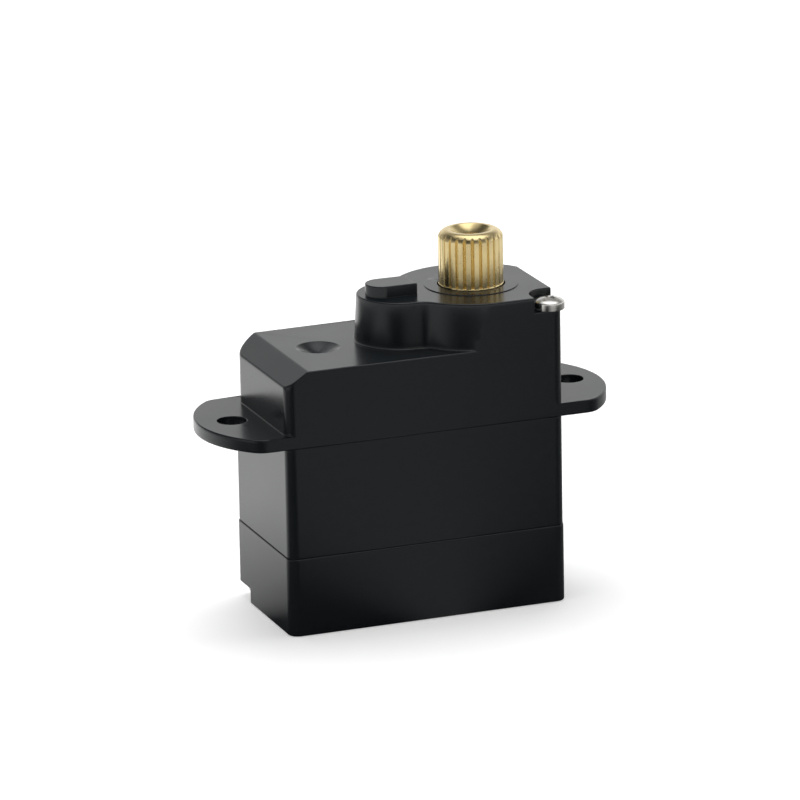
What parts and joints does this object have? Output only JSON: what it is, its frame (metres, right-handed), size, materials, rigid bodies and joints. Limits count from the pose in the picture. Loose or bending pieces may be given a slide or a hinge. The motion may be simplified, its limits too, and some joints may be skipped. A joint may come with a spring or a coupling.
{
  "type": "micro servo motor",
  "caption": "Compact geared servo motor with a flanged black case, mounting ears and a toothed brass output shaft tapped for a horn screw.",
  "frame": {"origin": "the middle of the case, on the ears' underside; the ear holes' middle lies 0.3 mm towards the output shaft", "axes": "+X along the case towards the output shaft, +Y across the case, +Z along the output shaft away from the case"},
  "size_m": [0.0332, 0.0126, 0.0291],
  "materials": {
    "black_nylon": "satin moulded",
    "nickel_screw": "bright nickel plate",
    "turned_brass": "turned and milled",
    "bearing_steel": "ground",
    "gear_steel": "ground pin",
    "gear_brass": "machined",
    "can_steel": "drawn, nickel plated",
    "ferrite": "sintered",
    "lamination_steel": "stamped stack",
    "enamelled_copper": "wound enamelled wire",
    "copper": "drawn copper",
    "cream_nylon": "moulded",
    "pot_resin": "moulded resin",
    "track_ceramic": "fired substrate",
    "board_laminate": "solder mask",
    "chip_resin": "moulded resin",
    "capacitor_ceramic": "fired ceramic",
    "wire_sleeve": "extruded sleeve",
    "gland_rubber": "moulded rubber"
  },
  "bodies": {
    "case": {"top_case": "black_nylon", "middle_case": "black_nylon", "bottom_cover": "black_nylon", "case_screws": "nickel_screw", "bearing_outer_race": "bearing_steel", "output_bush": "gear_brass", "gear_axle": "gear_steel", "gear_washers": "gear_steel", "motor_can": "can_steel", "motor_magnets": "ferrite", "motor_bush": "gear_brass", "motor_end_cap": "cream_nylon", "motor_end_bush": "gear_brass", "motor_brushes": "copper", "motor_terminals": "can_steel", "pot_housing": "pot_resin", "pot_track": "track_ceramic", "pot_leads": "wire_sleeve", "control_board": "board_laminate", "controller_chip": "chip_resin", "bridge_chips": "chip_resin", "capacitors": "capacitor_ceramic", "resistors": "chip_resin", "lead_grommet": "gland_rubber"},
    "output": {"output_gear": "turned_brass", "bearing_inner_race": "bearing_steel", "pot_rotor": "cream_nylon", "pot_wiper": "copper"},
    "bearing_set": {"bearing_balls": "bearing_steel", "bearing_cage": "gear_brass"},
    "third": {"third_gear": "gear_brass"},
    "second": {"second_gear": "gear_brass"},
    "first": {"first_gear": "gear_brass"},
    "rotor": {"motor_pinion": "gear_brass", "motor_shaft": "gear_steel", "rotor_core": "lamination_steel", "rotor_windings": "enamelled_copper", "commutator": "copper"}
  },
  "joints": [
    {"name": "output_spin", "type": "hinge", "parent": "case", "child": "output", "pos_m": [0.0062, 0, 0.006], "axis": [0, 0, 1], "range_deg": [-90, 90]},
    {"name": "bearing_cage_spin", "type": "hinge", "parent": "case", "child": "bearing_set", "pos_m": [0.0062, 0, 0.006], "axis": [0, 0, 1], "range_deg": [-40, 40]},
    {"name": "third_gear_spin", "type": "hinge", "parent": "case", "child": "third", "pos_m": [0.0003, 0, 0.006], "axis": [0, 0, 1], "range_deg": [-180, 180]},
    {"name": "second_gear_spin", "type": "hinge", "parent": "case", "child": "second", "pos_m": [0.0062, 0, 0.006], "axis": [0, 0, 1], "range_deg": [-690, 690]},
    {"name": "first_gear_spin", "type": "hinge", "parent": "case", "child": "first", "pos_m": [0.0003, 0, 0.006], "axis": [0, 0, 1], "range_deg": [-1340, 1340]},
    {"name": "motor_spin", "type": "hinge", "parent": "case", "child": "rotor", "pos_m": [-0.0052, 0, 0.006], "axis": [0, 0, 1], "range_deg": [-6850, 6850]}
  ],
  "couplings": [
    {"joint": "bearing_cage_spin", "follows": "output_spin", "ratio": 0.43609},
    {"joint": "third_gear_spin", "follows": "output_spin", "ratio": -1.9375},
    {"joint": "second_gear_spin", "follows": "output_spin", "ratio": 7.5885},
    {"joint": "first_gear_spin", "follows": "output_spin", "ratio": -14.798},
    {"joint": "motor_spin", "follows": "output_spin", "ratio": 75.632}
  ]
}
